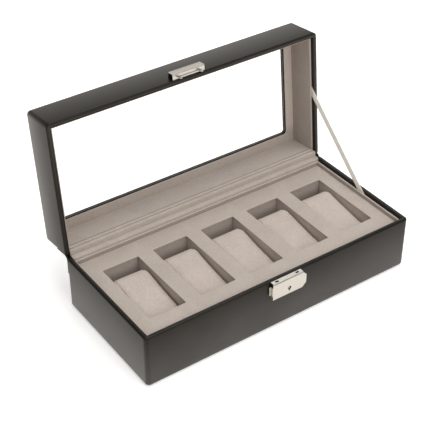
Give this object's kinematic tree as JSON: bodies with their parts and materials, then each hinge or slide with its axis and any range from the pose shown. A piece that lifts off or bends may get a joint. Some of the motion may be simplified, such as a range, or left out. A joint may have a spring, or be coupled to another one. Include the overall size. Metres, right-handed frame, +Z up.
{
  "type": "watch box",
  "caption": "Rectangular leather watch box with sloped watch cushions in a suede tray, a hinged lid with a glass window, a ribbon stay and a small lock with a pronged hasp.",
  "frame": {"origin": "centre of the underside, on the surface that the box stands on", "axes": "+Z up, +X to the right along the box, front with the lock at -Y; the lid is stored open"},
  "size_m": [0.31, 0.2005, 0.2048],
  "materials": {
    "black_leather": "smooth black leather, soft sheen",
    "suede": "taupe suede over card and foam",
    "cushion_suede": "taupe suede over foam",
    "board": "fibreboard, hidden",
    "clear_glass": "clear polished",
    "nickel": "polished nickel plate",
    "plain_steel": "plain steel",
    "underside_felt": "black felt",
    "ribbon": "cream ribbon"
  },
  "bodies": {
    "base": {"base_floor": "board", "base_floor_lining": "suede", "base_front_lining": "suede", "base_front_wall": "board", "base_leather": "black_leather", "base_left_lining": "suede", "base_left_wall": "board", "base_rear_lining": "suede", "base_rear_wall": "board", "base_right_lining": "suede", "base_right_wall": "board", "base_underside": "underside_felt", "hinge_cloth": "suede", "hinge_leather": "black_leather", "lock_back_plate": "plain_steel", "lock_cover": "nickel", "lock_key_post": "plain_steel", "lock_rivets": "plain_steel", "lock_spring": "plain_steel", "stay_ribbon": "ribbon", "tray_block_1": "suede", "tray_block_2": "suede", "tray_block_3": "suede", "tray_block_4": "suede", "tray_block_5": "suede", "tray_block_6": "suede", "tray_front_rail": "suede", "tray_rear_rail": "suede", "tray_top": "suede"},
    "lid": {"glass_pane": "clear_glass", "hasp": "nickel", "lid_front_lining": "suede", "lid_front_wall": "board", "lid_leather": "black_leather", "lid_left_lining": "suede", "lid_left_wall": "board", "lid_rear_lining": "suede", "lid_rear_wall": "board", "lid_right_lining": "suede", "lid_right_wall": "board", "lid_top_frame": "board", "lid_top_lining": "suede", "window_trim": "black_leather"},
    "cushion_1": {"watch_cushion_1": "cushion_suede"},
    "cushion_2": {"watch_cushion_2": "cushion_suede"},
    "cushion_3": {"watch_cushion_3": "cushion_suede"},
    "cushion_4": {"watch_cushion_4": "cushion_suede"},
    "cushion_5": {"watch_cushion_5": "cushion_suede"},
    "bolt": {"lock_bolt": "plain_steel"}
  },
  "joints": [
    {"name": "lid_hinge", "type": "hinge", "parent": "base", "child": "lid", "pos_m": [0, 0.0705, 0.0589], "axis": [-1, 0, 0], "range_deg": [-96, 0], "deforming": ["hinge_cloth", "hinge_leather", "stay_ribbon"]},
    {"name": "cushion_1_lift", "type": "slide", "parent": "base", "child": "cushion_1", "axis": [0, 0, 1], "range_m": [0, 0.05]},
    {"name": "cushion_2_lift", "type": "slide", "parent": "base", "child": "cushion_2", "axis": [0, 0, 1], "range_m": [0, 0.05]},
    {"name": "cushion_3_lift", "type": "slide", "parent": "base", "child": "cushion_3", "axis": [0, 0, 1], "range_m": [0, 0.05]},
    {"name": "cushion_4_lift", "type": "slide", "parent": "base", "child": "cushion_4", "axis": [0, 0, 1], "range_m": [0, 0.05]},
    {"name": "cushion_5_lift", "type": "slide", "parent": "base", "child": "cushion_5", "axis": [0, 0, 1], "range_m": [0, 0.05]},
    {"name": "bolt_throw", "type": "slide", "parent": "base", "child": "bolt", "axis": [1, 0, 0], "range_m": [0, 0.0016]}
  ]
}
